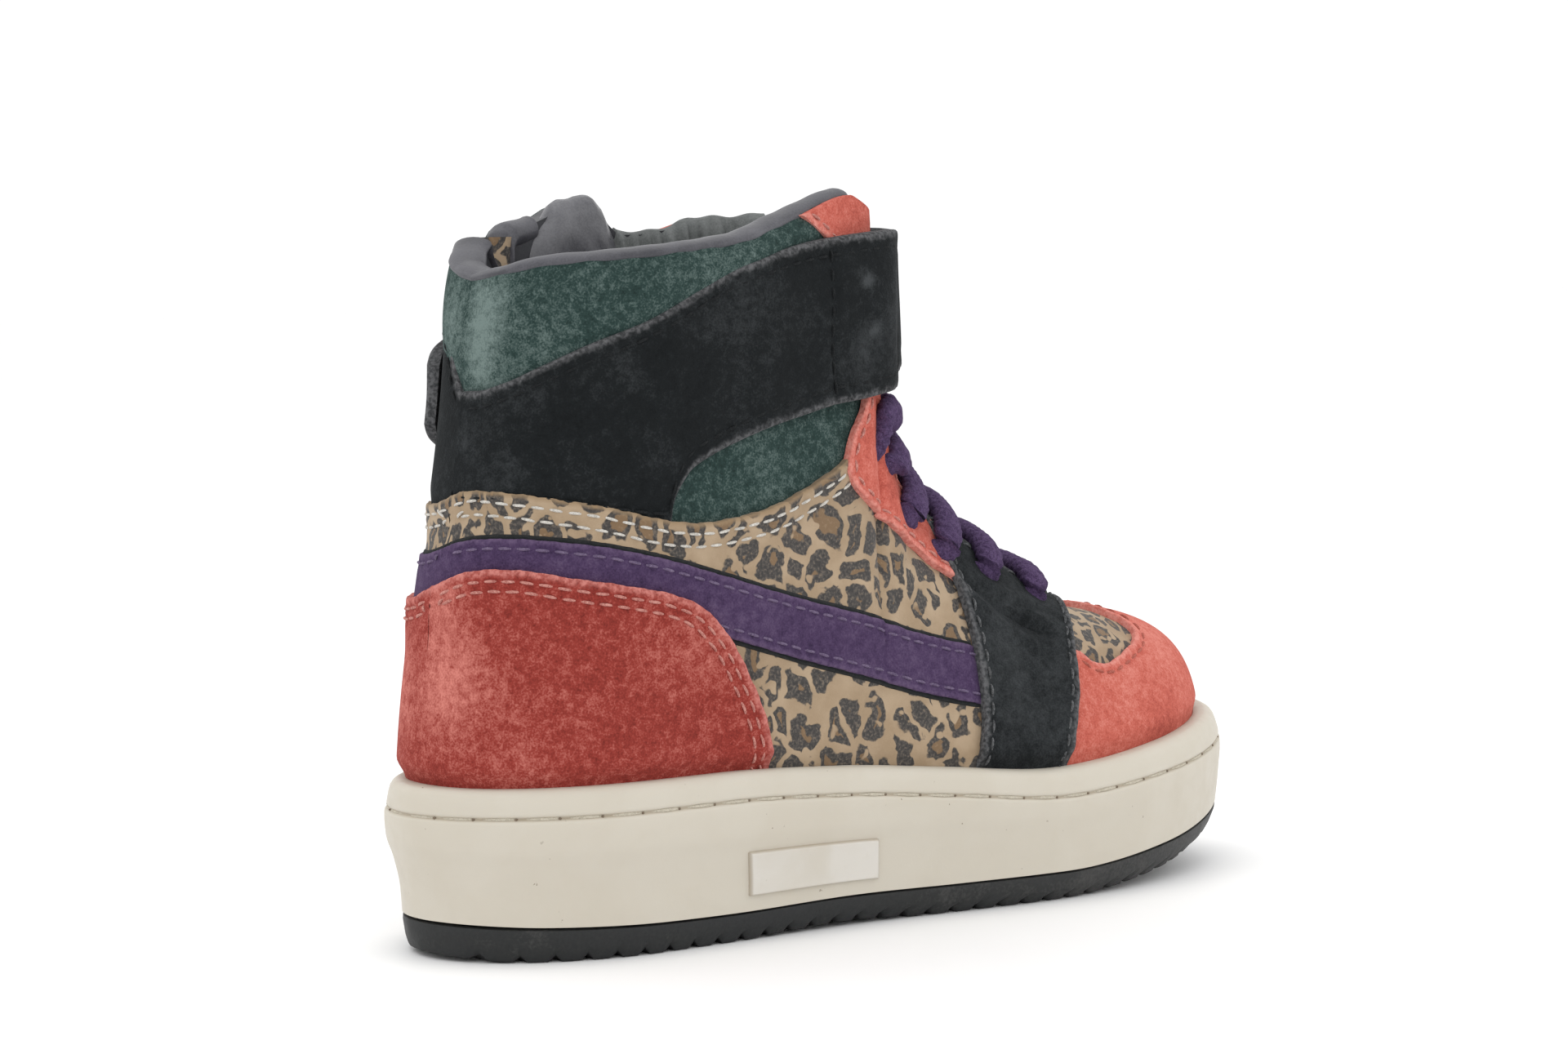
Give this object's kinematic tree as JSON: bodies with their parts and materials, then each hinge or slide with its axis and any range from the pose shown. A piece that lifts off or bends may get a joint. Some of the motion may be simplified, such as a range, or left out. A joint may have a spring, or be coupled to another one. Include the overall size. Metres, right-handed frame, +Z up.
{
  "type": "high-top sneaker",
  "caption": "Child's high-top sneaker with a cup sole, hollow suede upper, padded collar, tongue, laces and an ankle strap.",
  "frame": {"origin": "on the floor under the middle of the sole", "axes": "+X to the toe, +Y to the inner side of the foot, +Z up"},
  "size_m": [0.185, 0.0706, 0.1302],
  "materials": {
    "outsole_rubber": "matt dark rubber",
    "cup_rubber": "satin off-white rubber, lightly soiled",
    "lining": "soft dark lining leather",
    "quarter_suede": "short-nap suede with an animal print",
    "coral_suede": "coral suede, paler at worn edges",
    "black_suede": "black suede",
    "lace_cord": "fuzzy round purple lace"
  },
  "bodies": {
    "root": {"outsole": "outsole_rubber", "midsole": "cup_rubber", "insole": "lining", "upper": "quarter_suede", "tongue": "lining", "heel_counter": "coral_suede", "toe_cap": "coral_suede", "strap": "black_suede", "lace": "lace_cord"}
  },
  "joints": []
}
